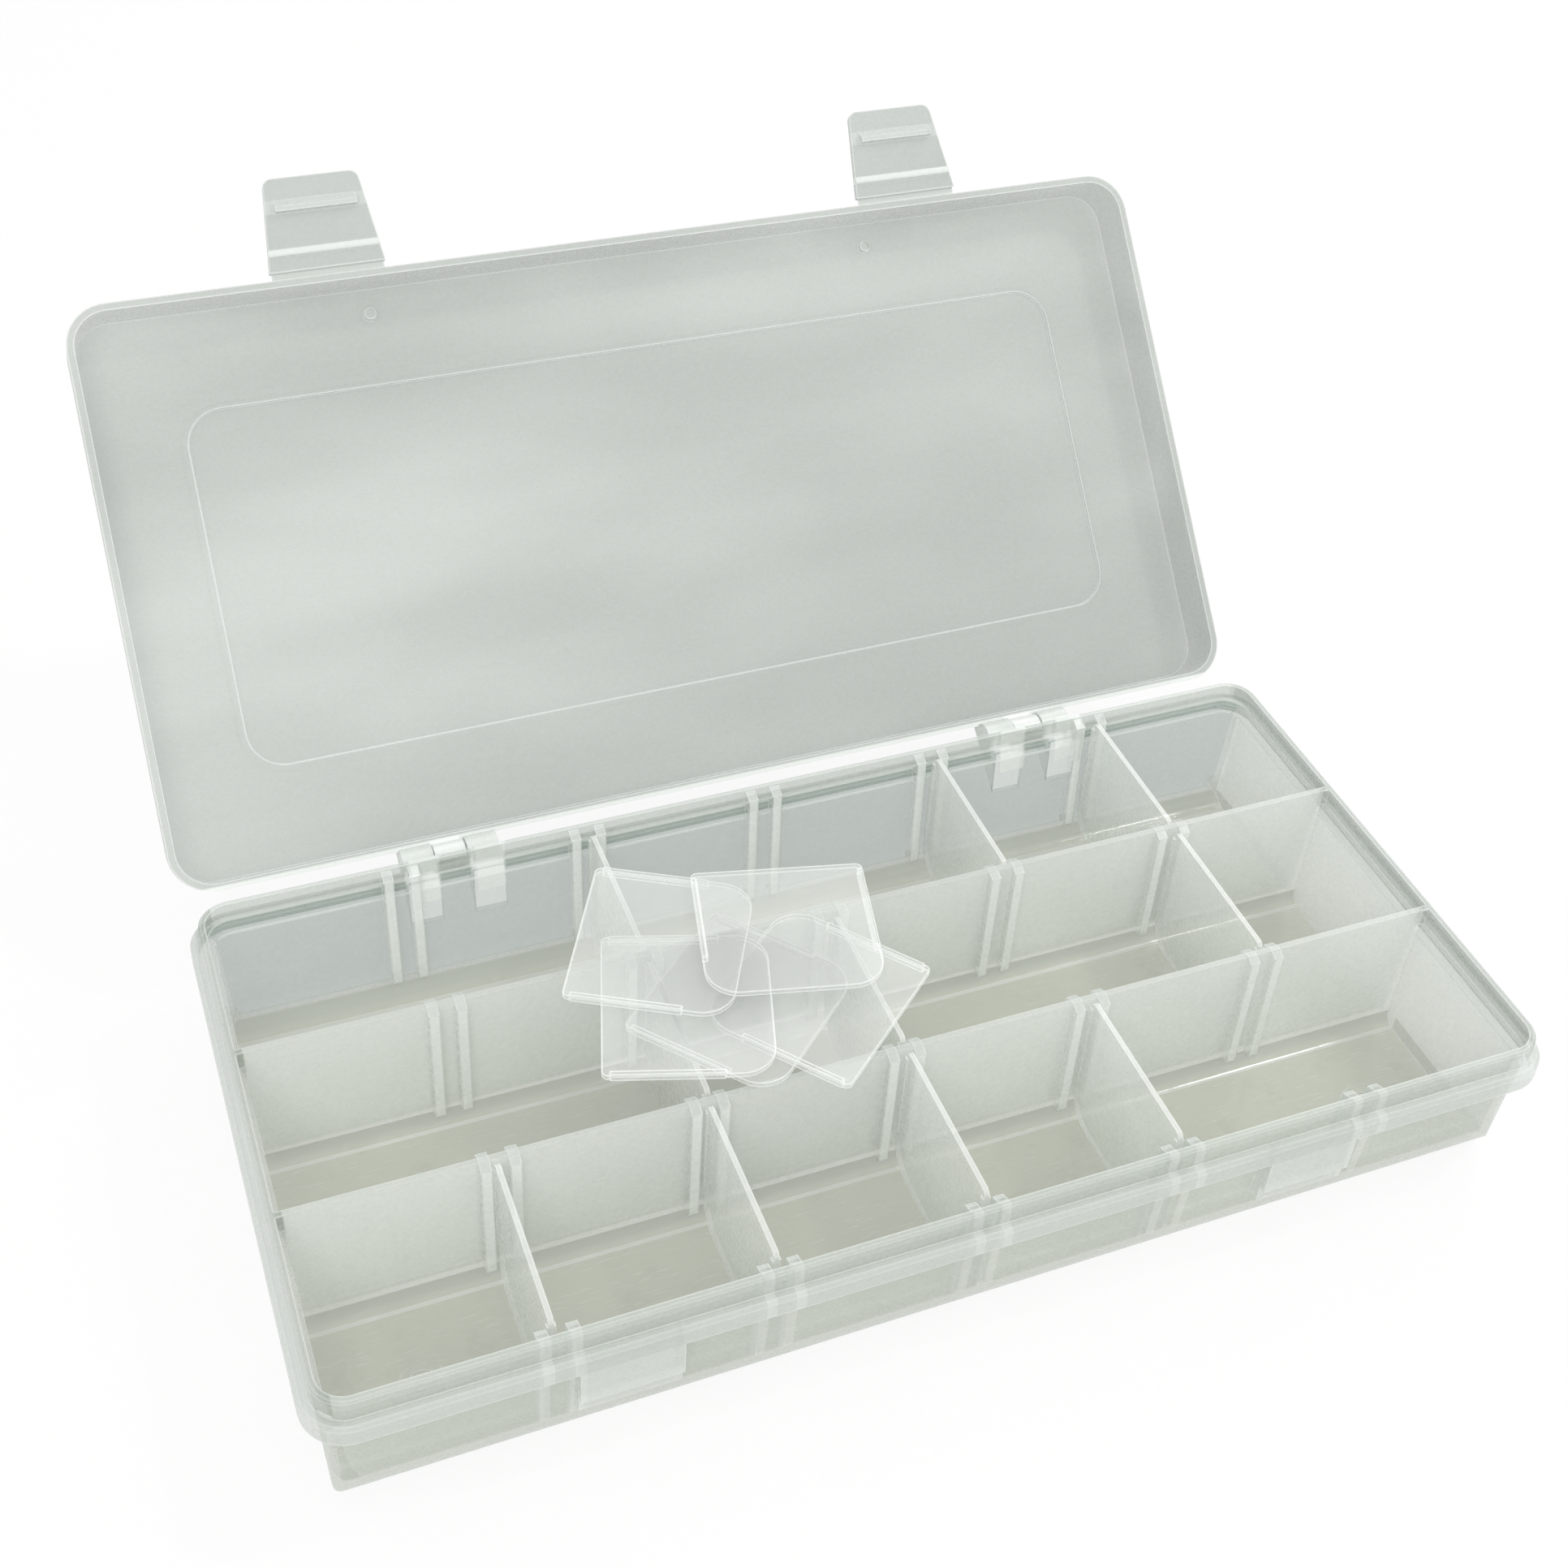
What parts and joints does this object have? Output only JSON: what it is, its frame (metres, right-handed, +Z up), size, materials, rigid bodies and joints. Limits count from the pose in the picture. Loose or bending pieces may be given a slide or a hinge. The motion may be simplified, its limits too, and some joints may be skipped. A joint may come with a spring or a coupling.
{
  "type": "tackle box",
  "caption": "Shallow frosted plastic compartment box with a hinged lid, fold-over latches and slide-in dividers, shown open with spare dividers lying on top.",
  "frame": {"origin": "centre of the tray's flat underside", "axes": "+Z up, +Y towards the hinges, +X to the right when the latches face the user"},
  "size_m": [0.23, 0.2142, 0.1261],
  "materials": {
    "tray": "translucent frosted moulded plastic",
    "lid": "translucent frosted moulded plastic",
    "latch": "translucent frosted moulded plastic, whitened on its bead",
    "web": "translucent frosted plastic worn by folding",
    "divider": "translucent frosted moulded plastic"
  },
  "bodies": {
    "tray": {"tray": "tray"},
    "lid": {"lid": "lid", "web_left": "web", "web_right": "web"},
    "latch_left": {"latch_left": "latch"},
    "latch_right": {"latch_right": "latch"},
    "divider_back_2": {"divider_back_2": "divider"},
    "divider_back_4": {"divider_back_4": "divider"},
    "divider_back_5": {"divider_back_5": "divider"},
    "divider_middle_2": {"divider_middle_2": "divider"},
    "divider_middle_3": {"divider_middle_3": "divider"},
    "divider_middle_5": {"divider_middle_5": "divider"},
    "divider_front_1": {"divider_front_1": "divider"},
    "divider_front_2": {"divider_front_2": "divider"},
    "divider_front_3": {"divider_front_3": "divider"},
    "divider_front_4": {"divider_front_4": "divider"},
    "divider_spare_1": {"divider_spare_1": "divider"},
    "divider_spare_2": {"divider_spare_2": "divider"},
    "divider_spare_3": {"divider_spare_3": "divider"},
    "divider_spare_4": {"divider_spare_4": "divider"},
    "divider_spare_5": {"divider_spare_5": "divider"}
  },
  "joints": [
    {"name": "lid_hinge", "type": "hinge", "parent": "tray", "child": "lid", "pos_m": [0, 0.0606, 0.0256], "axis": [-1, 0, 0], "range_deg": [-132.5, 0]},
    {"name": "latch_left_fold", "type": "hinge", "parent": "lid", "child": "latch_left", "pos_m": [-0.063, 0.14331, 0.11128], "axis": [-1, 0, 0], "range_deg": [-90, 0], "deforming": ["web_left"]},
    {"name": "latch_right_fold", "type": "hinge", "parent": "lid", "child": "latch_right", "pos_m": [0.063, 0.14331, 0.11128], "axis": [-1, 0, 0], "range_deg": [-90, 0], "deforming": ["web_right"]},
    {"name": "lift_back_2", "type": "slide", "parent": "tray", "child": "divider_back_2", "axis": [0, 0, 1], "range_m": [0, 0.035]},
    {"name": "lift_back_4", "type": "slide", "parent": "tray", "child": "divider_back_4", "axis": [0, 0, 1], "range_m": [0, 0.035]},
    {"name": "lift_back_5", "type": "slide", "parent": "tray", "child": "divider_back_5", "axis": [0, 0, 1], "range_m": [0, 0.035]},
    {"name": "lift_middle_2", "type": "slide", "parent": "tray", "child": "divider_middle_2", "axis": [0, 0, 1], "range_m": [0, 0.035]},
    {"name": "lift_middle_3", "type": "slide", "parent": "tray", "child": "divider_middle_3", "axis": [0, 0, 1], "range_m": [0, 0.035]},
    {"name": "lift_middle_5", "type": "slide", "parent": "tray", "child": "divider_middle_5", "axis": [0, 0, 1], "range_m": [0, 0.035]},
    {"name": "lift_front_1", "type": "slide", "parent": "tray", "child": "divider_front_1", "axis": [0, 0, 1], "range_m": [0, 0.035]},
    {"name": "lift_front_2", "type": "slide", "parent": "tray", "child": "divider_front_2", "axis": [0, 0, 1], "range_m": [0, 0.035]},
    {"name": "lift_front_3", "type": "slide", "parent": "tray", "child": "divider_front_3", "axis": [0, 0, 1], "range_m": [0, 0.035]},
    {"name": "lift_front_4", "type": "slide", "parent": "tray", "child": "divider_front_4", "axis": [0, 0, 1], "range_m": [0, 0.035]},
    {"name": "lift_spare_1", "type": "slide", "parent": "divider_middle_2", "child": "divider_spare_1", "axis": [0, 0, 1], "range_m": [0, 0.035]},
    {"name": "lift_spare_2", "type": "slide", "parent": "divider_spare_1", "child": "divider_spare_2", "axis": [0, 0, 1], "range_m": [0, 0.035]},
    {"name": "lift_spare_3", "type": "slide", "parent": "divider_spare_2", "child": "divider_spare_3", "axis": [0, 0, 1], "range_m": [0, 0.035]},
    {"name": "lift_spare_4", "type": "slide", "parent": "divider_spare_3", "child": "divider_spare_4", "axis": [0, 0, 1], "range_m": [0, 0.035]},
    {"name": "lift_spare_5", "type": "slide", "parent": "divider_spare_4", "child": "divider_spare_5", "axis": [0, 0, 1], "range_m": [0, 0.035]}
  ],
  "couplings": [
    {"joint": "lift_back_2", "follows": "lift_middle_2", "ratio": 1},
    {"joint": "lift_middle_3", "follows": "lift_middle_2", "ratio": 1}
  ]
}
